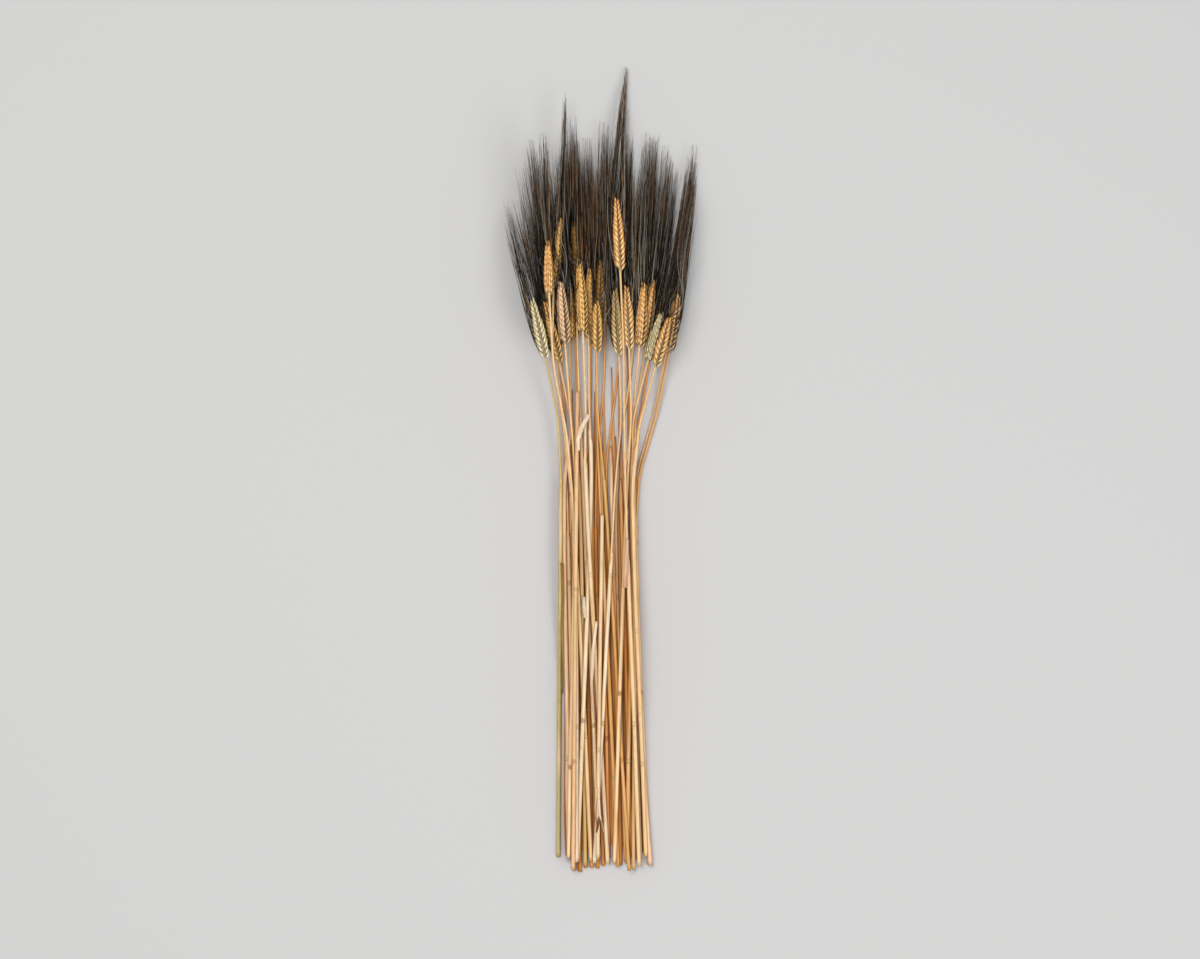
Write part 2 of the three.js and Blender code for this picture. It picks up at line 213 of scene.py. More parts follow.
def rounded(values):
    """The values with their corners rounded, and their two ends as they were."""
    half = LINE_SMOOTHING // 2
    window = np.ones(2 * half + 1) / (2 * half + 1)
    return np.convolve(np.pad(values, half, "reflect", reflect_type="odd"), window, "valid")


STALKS = [Stalk(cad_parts[name]) for name in sorted(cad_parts)]
TOP_STALKS = [stalk for stalk in STALKS if stalk.has_ear and stalk.number > LAST_UNDER]


# ------------ what a user would change


def length_setting(name, description, default):
    """A length that a user can change."""
    return FloatProperty(name=name, description=description, default=default, unit="LENGTH")


def colour_setting(name, description, code):
    """A colour that a user can change."""
    return FloatVectorProperty(
        name=name, description=description, subtype="COLOR", size=4, default=colour(code)
    )


class StrawSettings(bpy.types.PropertyGroup):
    """Sizes and colours of the straws."""

    sides: IntProperty(name="Sides", description="Faces round a straw", default=16, min=6)
    step: length_setting("Step", "Between two rings of a straw", 4 * MM)
    fine_step: length_setting("Fine step", "Between two rings at a knot or a mouth", 0.45 * MM)
    bore: length_setting("Bore", "Radius of the hollow in a cut straw", 1.25 * MM)
    bore_depth: length_setting("Bore depth", "How far the hollow is open", 12 * MM)
    bare: colour_setting("Bare straw", "Above the leaf sheath", "#F6C07A")
    # painted shade: the colour that the sides and the underside of each straw are darkened towards
    shade: colour_setting("Underside", "The side that lies down", "#A84E04")
    knot: colour_setting("Knot", "A fresh knot", "#C6B36A")
    mark: colour_setting("Knot mark", "An old knot, and torn edges", "#8A5320")


class EarSettings(bpy.types.PropertyGroup):
    """Sizes and colours of the ears."""

    pitch: length_setting("Spikelet pitch", "From a spikelet to the next one of its rank", 4.6 * MM)
    # the husks' own dark margins, and also painted shade at the root of each husk and between the husks
    margin: colour_setting("Husk margin", "The edges of the husks", "#8A4A12")


class AwnSettings(bpy.types.PropertyGroup):
    """Sizes and colours of the awns."""

    root_radius: length_setting("Root radius", "Of an awn at its husk", 0.4 * MM)
    tip_radius: length_setting("Tip radius", "Of an awn at its tip", 0.09 * MM)
    extra: IntProperty(
        name="Extra awns", description="From the small husks deep in each ear", default=40, min=0
    )
    black: colour_setting("Black", "The darkest awns", "#070605")
    # painted highlight: awns in this grey stand for the grey glints along the black awns
    grey: colour_setting("Grey", "Faded awns", "#B0A898")
    brown: colour_setting("Brown", "Brown awns and tips", "#7E5A38")
    tan: colour_setting("Tan", "The palest awns", "#C89858")


class StageSettings(bpy.types.PropertyGroup):
    """Table and camera."""

    view_width: length_setting("View width", "Width of the picture at the bundle", 1.068)
    lens: FloatProperty(name="Lens", description="Focal length", default=200, unit="CAMERA")
    table: colour_setting("Table", "The painted board", "#D1D1D0")


# ------------ helpers

SAME_CORNER = 0.001 * MM  # corners that are nearer than this are joined


def mixed(a, b, share):
    """A colour between two others."""
    return [p + (q - p) * share for p, q in zip(a, b)]


def shaded(tint, factor):
    """A colour made darker or lighter."""
    return [channel * factor for channel in tint[:3]] + [1.0]


def tinted_mesh():
    """An empty mesh, and the layer that holds the tint of its corners."""
    bm = bmesh.new()
    return bm, bm.verts.layers.float_color.new("tint")


def copied_corners(bm, template):
    """The corners of one more copy of a template."""
    copy = bmesh.ops.duplicate(bm, geom=template)["geom"]
    return [part for part in copy if isinstance(part, bmesh.types.BMVert)]


def bump(distance, width):
    """1 at no distance, falling to nothing past the width."""
    return math.exp(-((distance / width) ** 2))


def step_up(value, start, end):
    """0 below start, 1 above end, and smooth between them."""
    share = min(max((value - start) / (end - start), 0), 1)
    return share * share * (3 - 2 * share)


def rolled_tube(bm, sides, rings):
    """Rolls a sheet up into a tube. Gives, for each ring, its corners with their angles."""
    bm.loops.layers.uv.verify()
    sheet = bmesh.ops.create_grid(
        bm, x_segments=sides, y_segments=rings - 1, size=0.5, calc_uvs=True
    )
    rows = [[] for _ in range(rings)]
    for corner in sheet["verts"]:
        row = round((corner.co.y + 0.5) * (rings - 1))
        rows[row].append((corner, (corner.co.x + 0.5) * 2 * math.pi))
    return rows


def closed(bm):
    """Joins the edges that meet and turns the faces outwards."""
    bmesh.ops.remove_doubles(bm, verts=bm.verts, dist=SAME_CORNER)
    bmesh.ops.recalc_face_normals(bm, faces=bm.faces)


def new_object(name, data):
    """A new object in the scene."""
    thing = bpy.data.objects.new(name, data)
    bpy.context.scene.collection.objects.link(thing)
    return thing


def mesh_object(bm, name, material):
    """Makes the mesh an object in the scene."""
    mesh = bpy.data.meshes.new(name)
    bm.to_mesh(mesh)
    bm.free()
    mesh.materials.append(material)
    return new_object(name, mesh)


def finish_piece(bm, name, material):
    """Makes the mesh an object that rides with the bundle."""
    piece = mesh_object(bm, name, material)
    piece.data.shade_smooth()
    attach(piece, "root")
    return piece


# ------------ materials

FIBRE_STRETCH = (1, 0.03, 1)  # fibres run along Y
NOISE_RANGE = (0.3, 0.7)  # that a noise mostly stays in
SPECK_SCALE = (900.0, 260.0, 900.0)  # of the noise that they come from
SPECK_EDGE = (0.68, 0.78)  # of the noise, where a speck begins and where it is full
SPECK_COLOUR = colour("#6E3C14")
ROLLER_SCALE = 1 / (3 * MM)


def add_node(tree, kind, sockets=None, stops=(), **settings):
    """Adds a shader node with its sockets' values or links, a ramp's stops and its settings."""
    node = tree.nodes.new("ShaderNode" + kind)
    for name, value in settings.items():
        setattr(node, name, value)
    for name, value in (sockets or {}).items():
        if isinstance(value, bpy.types.NodeSocket):
            tree.links.new(value, node.inputs[name])
        else:
            node.inputs[name].default_value = value
    for i, (position, shade) in enumerate(stops):
        node.color_ramp.elements[i].position = position
        node.color_ramp.elements[i].color = (shade, shade, shade, 1)
    return node


def empty_material(name):
    """A material without nodes, and its tree."""
    material = bpy.data.materials.new(name)
    material.use_nodes = True
    material.node_tree.nodes.clear()
    return material, material.node_tree


def stretched_noise(tree, scale, detail, roughness=0.5):
    """A noise in space, with its scale along X, Y and Z."""
    place = add_node(tree, "TexCoord").outputs["Object"]
    stretched = add_node(tree, "Mapping", {"Vector": place, "Scale": scale})
    sockets = {"Vector": stretched.outputs["Vector"], "Scale": 1.0}
    sockets |= {"Detail": detail, "Roughness": roughness}
    return add_node(tree, "TexNoise", sockets).outputs["Fac"]


def add_surface(tree, sockets):
    """Adds the shader, with those sockets' values or links, and the output."""
    shader = add_node(tree, "BsdfPrincipled", sockets)
    add_node(tree, "OutputMaterial", {"Surface": shader.outputs["BSDF"]})


def plant_material(name, fibre, streaks, specks, roughness, relief, specular):
    """A dry plant surface: the tint of each corner, with streaks along the stalk and brown specks.

    fibre is the real width of a streak, streaks the darkest and lightest factor on the tint, specks
    how strong the specks are, roughness the least and the most, and relief how high the fibres are.
    """
    material, tree = empty_material(name)
    tint = add_node(tree, "Attribute", attribute_name="tint")
    fibres = stretched_noise(tree, Vector(FIBRE_STRETCH) / fibre, 3.0, 0.6)
    factor = add_node(tree, "ValToRGB", {"Fac": fibres}, stops=zip(NOISE_RANGE, streaks))
    streaked = add_node(
        tree,
        "MixRGB",
        {"Fac": 1.0, "Color1": tint.outputs["Color"], "Color2": factor.outputs["Color"]},
        blend_type="MULTIPLY",
    )
    spots = stretched_noise(tree, SPECK_SCALE, 1.0)
    spotted = add_node(tree, "ValToRGB", {"Fac": spots}, stops=zip(SPECK_EDGE, (0.0, specks)))
    coloured = add_node(
        tree,
        "MixRGB",
        {"Fac": spotted.outputs["Color"], "Color1": streaked.outputs["Color"], "Color2": SPECK_COLOUR},
    )
    ends = zip(("From Min", "From Max", "To Min", "To Max"), NOISE_RANGE + roughness)
    uneven = add_node(tree, "MapRange", {"Value": fibres, **dict(ends)})
    ribs = add_node(tree, "Bump", {"Height": fibres, "Strength": 0.6, "Distance": relief})
    add_surface(
        tree,
        {
            "Base Color": coloured.outputs["Color"],
            "Roughness": uneven.outputs["Result"],
            "Normal": ribs.outputs["Normal"],
            "Specular IOR Level": specular,
        },
    )
    return material


def straw_material():
    """Dry straw. Its waxy skin gives a long satin highlight, and its fibres fine streaks."""
    return plant_material("dry_straw", 0.9 * MM, (0.74, 1.14), 0.2, (0.28, 0.5), 0.12 * MM, 0.35)


def husk_material():
    """Ripe chaff. Papery and matt, with veins along each husk."""
    return plant_material("ripe_chaff", 0.7 * MM, (0.85, 1.15), 0.25, (0.5, 0.7), 0.1 * MM, 0.35)


def awn_material():
    """Dark bristle. Hard and smooth enough for grey glints along it."""
    return plant_material("dark_bristle", 0.8 * MM, (0.6, 1.3), 0.0, (0.45, 0.65), 0.03 * MM, 0.2)


def table_material(tint):
    """Matt painted board. Even, with a faint roller texture."""
    material, tree = empty_material("matt_painted_board")
    roller = stretched_noise(tree, (ROLLER_SCALE,) * 3, 2.0)
    dimples = add_node(tree, "Bump", {"Height": roller, "Strength": 0.1, "Distance": 0.05 * MM})
    add_surface(tree, {"Base Color": tint, "Roughness": 0.85, "Normal": dimples.outputs["Normal"]})
    return material


# ------------ straws

THICKNESS = (0.84, 0.97)  # of a straw, as a share of its solid's
RIPENESS = (0, 0.6)  # of the riper side of a straw
# How high a knot and the fainter upper one are, and how strong their colours are
KNOT = ((0.15 * MM, 0.35 * MM), (0.4, 0.75))
FAINT_KNOT = ((0.08 * MM, 0.2 * MM), (0.2, 0.4))
KNOT_REACH = 4 * MM  # either side of a knot that has fine rings
KNOT_WIDTH = 1.1 * MM
KNOT_GROOVE = 2.1 * MM  # from the middle of a knot to the grooves beside it
GROOVE_DEPTH = 0.12 * MM
MOUTH_REACH = 10 * MM  # either side of a sheath's mouth that has fine rings
MOUTH_SLANT = 5 * MM  # a sheath is longer on one side
MOUTH_FLARE = 0.15 * MM
MOUTH_EDGE = 4 * MM  # that the sheath takes to thin out
CUT_SLANT = 0.5 * MM
CUT_FADE = 6 * MM
LIP = 0.25 * MM
TORN = 0.9 * MM  # how far the fibres of a broken end stick out
# A broken straw whose foot is lower than the last of these is split to a point: from how far
# below its end, and to which share of its thickness.
SPLIT_LENGTH = 22 * MM
SPLIT_POINT = 0.35
LOW_STRAW = 3 * MM
FLAT_FADE = 50 * MM
FLAT_WIDE = 1.85  # of a trodden straw, as shares of the round one
FLAT_HIGH = 0.5
BLOTCHES = 5
BLOTCH_LENGTH = (10 * MM, 55 * MM)
BLOTCH_COLOURS = ("golden", "pink", "pale", "olive", "tan")


class Skin:
    """What sets one straw's surface apart from the next one's."""

    def __init__(self, stalk):
        draw = stalk.random
        self.stalk = stalk
        if stalk.has_ear:
            self.own = STRAW_COLOURS[STRAW_COLOUR_OF.get(stalk.number, "tan")]
        else:
            self.own = STRAW_COLOURS[BROKEN_COLOUR_OF.get(stalk.number, "amber")]
        self.thickness = draw.uniform(*THICKNESS)
        self.slant_angle = draw.uniform(0, 2 * math.pi)
        self.oval_angle = draw.uniform(0, math.pi)
        self.cut = draw.uniform(0.2, 1) * CUT_SLANT
        self.cut_angle = draw.uniform(0, 2 * math.pi)
        self.is_green = draw.random() < 0.6
        # one side of a straw is riper than the other
        self.ripe_angle = draw.uniform(0, 2 * math.pi)
        self.ripeness = draw.uniform(*RIPENESS)
        self.top_share = SPLIT_POINT if stalk.place(stalk.foot).z < LOW_STRAW else 1
        self.knots = [
            (at, draw.uniform(*swell), draw.uniform(*strength))
            for at, (swell, strength) in ((stalk.knot, KNOT), (stalk.upper_knot, FAINT_KNOT))
        ]
        self.blotches = [
            (
                draw.uniform(stalk.foot, stalk.neck),
                draw.uniform(*BLOTCH_LENGTH),
                STRAW_COLOURS[draw.choice(BLOTCH_COLOURS)],
                draw.uniform(0.15, 0.5),
            )
            for _ in range(BLOTCHES)
        ]

    def mouth(self, angle):
        """Where the leaf sheath ends on that side."""
        return self.stalk.mouth + MOUTH_SLANT * math.cos(angle - self.slant_angle)

    def radius(self, y, angle):
        """How far the skin is from the centre."""
        stalk = self.stalk
        sheath = stalk.ring_radius[0]
        swell = sum(size * bump(y - at, KNOT_WIDTH) for at, size, _ in self.knots)
        groove = GROOVE_DEPTH * bump(abs(y - stalk.knot) - KNOT_GROOVE, 0.5 * MM)
        oval = 1 + 0.04 * math.cos(2 * (angle - self.oval_angle))
        if not stalk.has_ear:
            split = 1 - (1 - self.top_share) * step_up(y, stalk.neck - SPLIT_LENGTH, stalk.neck)
            return sheath * self.thickness * oval * split + swell - groove
        bare = np.interp(y, [stalk.mouth, stalk.neck], stalk.ring_radius[-2:])
        mouth = self.mouth(angle)
        covered = 1 - step_up(y, mouth, mouth + MOUTH_EDGE)
        flare = MOUTH_FLARE * bump(min(y - mouth, 0), 3 * MM)
        return (bare + (sheath + flare - bare) * covered) * self.thickness * oval + swell - groove

    def tint(self, y, angle, settings):
        """The colour at a height and an angle, which is a right angle for the top. The sides and the
        underside carry painted shade.
        """
        stalk = self.stalk
        tint = self.own
        for at, width, blotch, strength in self.blotches:
            tint = mixed(tint, blotch, strength * bump(y - at, width))
        facing = 0.5 + 0.5 * math.cos(angle - self.ripe_angle)
        tint = mixed(tint, STRAW_COLOURS["golden"], self.ripeness * facing)
        if stalk.has_ear:
            mouth = self.mouth(angle)
            tint = mixed(tint, settings.bare, 0.3 * step_up(y, mouth, mouth + 1 * MM))
            tint = mixed(tint, settings.mark, 0.3 * bump(y - mouth, 0.7 * MM))
        band = settings.knot if self.is_green else settings.mark
        patchy = 0.65 + 0.35 * math.sin(2 * angle + self.slant_angle)
        for at, _, strength in self.knots:
            tint = mixed(tint, band, strength * bump(y - at, 2 * MM))
            ring = bump(abs(y - at) - 1.6 * MM, 0.45 * MM)
            tint = mixed(tint, settings.mark, 0.8 * strength * patchy * ring)
        cut = bump(y - stalk.foot, 1 * MM) + (not stalk.has_ear) * bump(y - stalk.neck, 1.2 * MM)
        tint = mixed(tint, settings.mark, 0.5 * min(cut, 1))
        # painted shade: the straw darkens from partway down its top, fully from just below its sides,
        # towards the underside colour, leaving a narrow bright top
        lying = step_up(-math.sin(angle), -0.82, 0.1)
        return mixed(tint, settings.shade, 0.9 * lying)


def straw_heights(stalk, settings):
    """Heights of a straw's outer rings: close together at its knots and at its sheath's mouth."""
    end = stalk.neck - (0 if stalk.has_ear else LIP)
    coarse = np.arange(stalk.foot + LIP, end, settings.step)
    fine = []
    for middle, reach in (
        (stalk.knot, KNOT_REACH),
        (stalk.upper_knot, KNOT_REACH),
        (stalk.mouth, MOUTH_REACH),
    ):
        coarse = coarse[abs(coarse - middle) > reach]
        near = np.arange(middle - reach, middle + reach, settings.fine_step)
        fine += [y for y in near if y < end]
    return sorted([*coarse, *fine, end])


def hollow_end(end, inwards, bore, skin, depth):
    """Rings of a cut end, from deep in the bore out over the lip. inwards is 1 or -1 along Y."""
    return [
        (end + inwards * depth, 0),
        (end + inwards * depth, bore),
        (end + inwards * LIP, bore),
        (end, bore + LIP),
        (end, skin - LIP),
    ]


def build_straw(stalk, settings, material):
    """One straw: hollow at its cut, with knots, and bare above the mouth of its leaf sheath."""
    skin = Skin(stalk)
    foot, neck = stalk.foot, stalk.neck
    outside = [(y, None) for y in straw_heights(stalk, settings)]
    width = stalk.ring_radius[0] * skin.thickness
    bore, depth = settings.bore, settings.bore_depth
    stations = hollow_end(foot, 1, bore, width, depth) + outside
    if stalk.has_ear:
        stations += [(neck + 3 * MM, None), (neck + 3 * MM, 0)]
    else:
        top = skin.top_share
        stations += hollow_end(neck, -1, bore * top, width * top, depth * top)[::-1]
    flat_top = foot + TRODDEN_LENGTH

    bm, tint_layer = tinted_mesh()
    for (y, radius), ring in zip(stations, rolled_tube(bm, settings.sides, len(stations))):
        centre, way = stalk.place(y), stalk.heading(y)
        side = (ACROSS - way * ACROSS.dot(way)).normalized()
        up = side.cross(way)
        cut = skin.cut * (1 - step_up(y, foot, foot + CUT_FADE))
        torn = 0 if stalk.has_ear else TORN * step_up(y, neck - 2 * MM, neck)
        flat = 1 - step_up(y, flat_top - FLAT_FADE, flat_top) if stalk.number == TRODDEN else 0
        for corner, angle in ring:
            reach = skin.radius(y, angle) if radius is None else radius
            across = reach * math.cos(angle) * (1 + (FLAT_WIDE - 1) * flat)
            high = reach * math.sin(angle) * (1 + (FLAT_HIGH - 1) * flat)
            along = cut * math.cos(angle - skin.cut_angle)
            along += torn * (math.sin(3 * angle + skin.cut_angle) + math.sin(7 * angle)) / 2
            corner.co = centre + side * across + up * high + way * along
            corner.co.z = max(corner.co.z, 0)
            corner[tint_layer] = skin.tint(y, angle, settings)
    closed(bm)
    name = "straw" if stalk.has_ear else "broken_end"
    piece = finish_piece(bm, f"{name}_{stalk.number}", material)
    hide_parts(stalk.node)


# ------------ ears

# how large the husks are along an ear, and how far they splay, as shares
EAR_SHAPE = ((0, 0.72), (0.17, 0.95), (0.34, 1), (0.5, 0.95), (0.67, 0.82), (0.84, 0.63), (1, 0.42))
HUSK_SPLAY = ((0, 1.3), (0.2, 1.25), (0.5, 0.95), (0.85, 0.6), (1, 0.4))
SLIM = {"10": 0.72, "11": 0.75, "15": 0.82, "22": 0.88}  # how thick these ears are, as shares
HUSK_SIDES = 10
HUSK_RINGS = 7
HUSK_ARCH = 0.25
# how wide a husk is along its length, as shares
HUSK_SHAPE = ((0, 0.4), (0.07, 0.62), (0.25, 0.92), (0.5, 1), (0.75, 0.76), (0.93, 0.3), (1, 0.08))


def both_faces(**husk):
    """A husk on either face of the ear."""
    return [{"side": side, **husk} for side in (1, -1)]


# The husks of a spikelet. side: which face of the ear, 0 for the middle. tilt: degrees out from
# the axis of the ear. turn: degrees from its rank towards that face, of the way that the husk
# leans and of its keel. root: out, to the face and up the ear. size: long, wide and deep, mm.
# awn: how likely it has one.
SPIKELET = (
    *both_faces(tilt=23, turn=(36, 60), root=(0.8, 1.3, 0), size=(8.6, 3.3, 1.6), awn=0),
    *both_faces(tilt=22, turn=(14, 36), root=(1.3, 0.8, 1.1), size=(9.0, 3.0, 1.6), awn=1),
    {"side": 0, "tilt": 17, "turn": (0, 0), "root": (1.1, 0, 1.8), "size": (8.6, 2.8, 1.6), "awn": 0.8},
)
END_SPIKELET = both_faces(tilt=5, turn=(0, 20), root=(0.5, 0.4, 0), size=(8.0, 3.0, 1.5), awn=1)
END_ROOM = 7 * MM  # that the last spikelets take
BARREN = 1  # spikelets at the foot of an ear without awns
BALD_WIDTH = 3.2 * MM  # either side of the middle of an ear's upper side, without awns
BALD_SHARE = 0.8  # of the length of an ear, from its foot
RACHIS_RADIUS = 1.1 * MM
RACHIS_SHAPE = ((0, 0), (0, 1), (0.5, 1), (0.85, 0.6), (0.9, 0))  # how thick along the ear, as shares


class Husk:
    """Where one husk of an ear is: its root, its way, its keel and its sizes."""

    def __init__(self, root, way, keel_way, sizes, share, awned):
        self.root, self.way, self.share, self.awned = root, way, share, awned
        self.long, self.wide, self.deep = sizes
        self.keel = (keel_way - way * keel_way.dot(way)).normalized()
        self.side = way.cross(self.keel)

    def at(self, x, along, z):
        """A point of the husk, from its shares of the husk's sizes."""
        along_way = self.way * (along * self.long)
        return self.root + self.side * (x * self.wide) + along_way + self.keel * (z * self.deep)

    def ridge(self, along):
        """A point on its keel."""
        return self.at(0, along, husk_width(along) + HUSK_ARCH * math.sin(math.pi * along))


def husk_width(along):
    """How wide a husk is there, as a share of its width."""
    return np.interp(along, *zip(*HUSK_SHAPE))


def husk_template(bm):
    """A ball drawn out into a keeled boat: root at the origin, tip at 1 on Y, keel up."""
    ball = bmesh.ops.create_uvsphere(
        bm, u_segments=HUSK_SIDES, v_segments=HUSK_RINGS - 1, radius=0.5
    )
    for corner in ball["verts"]:
        along = corner.co.z + 0.5
        angle = math.atan2(corner.co.y, corner.co.x)
        is_pole = along < 0.001 or along > 0.999
        width = 0 if is_pole else husk_width(along)
        lift = math.sin(angle)
        keel = lift**1.4 if lift > 0 else 0.35 * lift
        arch = HUSK_ARCH * math.sin(math.pi * along)
        corner.co = (width * math.cos(angle) / 2, along, width * keel + arch)
    return bm.verts[:] + bm.edges[:] + bm.faces[:]


def spikelet_husks(stalk, spikelet, height, out, share, awned):
    """The husks of one spikelet, at that height of the ear, on the side that out points to."""
    draw = stalk.random
    scale = np.interp(share, *zip(*EAR_SHAPE)) * SLIM.get(stalk.number, 1)
    splay = np.interp(share, *zip(*HUSK_SPLAY))
    for husk in spikelet:
        side = husk["side"]
        face = stalk.face * (side or 1)
        lean, keel = (math.radians(a) * abs(side) for a in husk["turn"])
        tilt = math.radians(husk["tilt"] * splay + draw.uniform(-2.5, 2.5))
        outward = out * math.cos(lean) + face * math.sin(lean)
        way = stalk.ear_axis * math.cos(tilt) + outward * math.sin(tilt)
        keel_way = out * math.cos(keel) + face * math.sin(keel)
        root_out, root_face, root_up = (scale * MM * r for r in husk["root"])
        root = stalk.ear_foot + stalk.ear_axis * (height + root_up)
        root += out * root_out + face * root_face * abs(side)
        sizes = [scale * MM * s * draw.uniform(0.94, 1.06) for s in husk["size"]]
        sizes[0] *= scale**-0.4  # the husks at the ends of an ear are slimmer, not much shorter
        yield Husk(root, way, keel_way, sizes, share, awned and draw.random() < husk["awn"])


def husks_of(stalk, settings):
    """Every husk of an ear, from its foot to its tip."""
    length = (stalk.ear_tip - stalk.ear_foot).length
    count = round(2 * (length - END_ROOM) / settings.pitch) + 1
    for k in range(count):
        out = stalk.rank * (1 if k % 2 else -1)
        height = (0.1 + 0.5 * k) * settings.pitch
        share = k / count
        yield from spikelet_husks(stalk, SPIKELET, height, out, share, k >= BARREN)
    yield from spikelet_husks(stalk, END_SPIKELET, length - END_ROOM, stalk.rank, 1, True)


def ear_colours(stalk):
    """The colours of an ear's husks at their root, their tip and their nerve."""
    return [colour(code) for code in EAR_COLOURS[EAR_COLOUR_OF.get(stalk.number, "gold")]]


def build_ear(stalk, settings, material):
    """One ear. Gives the husks of it that have an awn."""
    draw = stalk.random
    base, ripe, nerve = ear_colours(stalk)
    bm, tint_layer = tinted_mesh()
    bm.loops.layers.uv.verify()
    template = husk_template(bm)
    husks = list(husks_of(stalk, settings))
    for husk in husks:
        own = shaded(mixed(base, ripe, 0.1 + 0.4 * husk.share), draw.uniform(1, 1.2))
        tip = shaded(mixed(ripe, base, draw.uniform(0, 0.4)), draw.uniform(1, 1.15))
        for corner in copied_corners(bm, template):
            x, along, z = corner.co
            corner.co = husk.at(x, along, z)
            corner.co.z = max(corner.co.z, 0.1 * MM)
            tint = mixed(own, tip, step_up(along, 0.4, 0.95))
            # painted shade: each husk's root, where the husk below covers it, darkens towards the dark
            # edge colour
            tint = mixed(settings.margin, tint, 0.4 + 0.6 * step_up(along, 0.1, 0.4))
            # the edges darken towards the dark edge colour and the nerve: partly the husks' real dark
            # margins, partly painted shade between the husks
            edge = step_up(abs(x) / max(husk_width(along) / 2, 0.02), 0.7, 1)
            tint = mixed(tint, mixed(settings.margin, nerve, 0.7), edge)
            on_keel = bump(x, 0.08) * (z > 0) * step_up(along, 0.45, 0.7) * (1 - edge)
            corner[tint_layer] = mixed(tint, nerve, 0.3 * on_keel)
    bmesh.ops.delete(bm, geom=template, context="VERTS")
    add_rachis(bm, stalk, shaded(base, 0.7), tint_layer)
    closed(bm)
    piece = finish_piece(bm, f"ear_{stalk.number}", material)
    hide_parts(stalk.node)
    return [husk for husk in husks if husk.awned and not covers_ear(husk, stalk)]


def covers_ear(husk, stalk):
    """Whether an awn of this husk would lie on the ear. The upper side of an ear has lost those."""
    tip = husk.ridge(1)
    beside = abs(tip.x - stalk.place(tip.y).x)
    return husk.way.z > 0.1 and beside < BALD_WIDTH and husk.share < BALD_SHARE


def add_rachis(bm, stalk, tint, tint_layer):
    """The stem inside the ear, which the husks grow from."""
    rings = rolled_tube(bm, HUSK_SIDES, len(RACHIS_SHAPE))
    for (share, thickness), ring in zip(RACHIS_SHAPE, rings):
        centre = stalk.ear_foot.lerp(stalk.ear_tip, share)
        for corner, angle in ring:
            radius = RACHIS_RADIUS * thickness
            offset = stalk.rank * math.cos(angle) + stalk.face * math.sin(angle)
            corner.co = centre + offset * radius
            corner[tint_layer] = tint


# ------------ awns

AWN_SIDES = 3
ON_KEEL = (0.42, 0.7, 0.97)  # along its husk, where an awn is still on its keel
FREE_RINGS = 16
EASING = 3  # how often the kinks of an awn are rounded
AWN_REACH = (0.83, 1.12)  # of the longest
PAST_TIP = 5 * MM  # how far an awn may reach beyond those of its solid
# half width of a tuft, by how far it is past the ear as a share of its length
WIDE_TUFT = ((0, 7 * MM), (0.35, 10 * MM), (0.8, 9 * MM), (1, 7 * MM))
POINTED_TUFT = ((0, 6.4 * MM), (0.35, 7 * MM), (0.8, 3.4 * MM), (1, 1.3 * MM))
POINTED = ("15", "28")
# how much longer the awns of these are than those of their solids
LONGER = {"10": -8 * MM, "15": 16 * MM, "22": -13 * MM, "28": 6 * MM}
VEILED = ("10", "11", "12", "14")
CLEAR_OF_VEILED = 0.8  # how likely an awn keeps clear of each of those ears
TUFT_FLATTENING = 0.5  # height of a tuft, as a share of its width
WAVER = 1.6 * MM  # how far an awn strays from the straight way on
AWN_HANDLE = 11 * MM  # how far an awn keeps the way of its husk
TUFT_HANDLE = 0.5  # as a share of its length, how far it has the way of the tuft
RAISED = 0.35  # what is left of the height of awns that would cover their own ear
PART = 5 * MM  # how far those step aside
# An awn keeps clear of the other ears: all the way when it is within the first distance of an
# ear's middle line, and not at all beyond the second one.
EAR_CLEAR = (5 * MM, 9 * MM)
EAR_FADE = 22 * MM  # before and past an ear, where this begins and ends
UNDER_EAR = 7 * MM  # how far below the middle of an ear an awn dives
DEEPEST_DIVE = (12 * MM, 20 * MM)  # from where an awn rather passes beside the ear
STRAYS = 0.05  # the share of the awns that stand away from their tuft
STRAY_REACH = 2  # how much further out they end
EDGE_ROOM = 5 * MM  # how far short of the solids' sides the outermost awns may end
# the grey share is painted highlight: grey awns for the glints among the black ones
GREY_SHARE = 0.26
BROWN_SHARE = 0.09
TAN_SHARE = 0.035


def awn_template(bm, settings):
    """A thin tapering bristle, three-sided as the real one is. Y counts its rings."""
    rings = len(ON_KEEL) + FREE_RINGS
    for row, ring in enumerate(rolled_tube(bm, AWN_SIDES, rings)):
        share = row / (rings - 1)
        radius = settings.root_radius + (settings.tip_radius - settings.root_radius) * share**1.2
        radius *= min(0.35 + 0.32 * row, 1)
        for corner, angle in ring:
            corner.co = (radius * math.cos(angle), row, radius * math.sin(angle))
    bmesh.ops.remove_doubles(bm, verts=bm.verts, dist=SAME_CORNER)
    bmesh.ops.holes_fill(bm, edges=bm.edges, sides=AWN_SIDES)
    bmesh.ops.recalc_face_normals(bm, faces=bm.faces)
    return bm.verts[:] + bm.edges[:] + bm.faces[:]


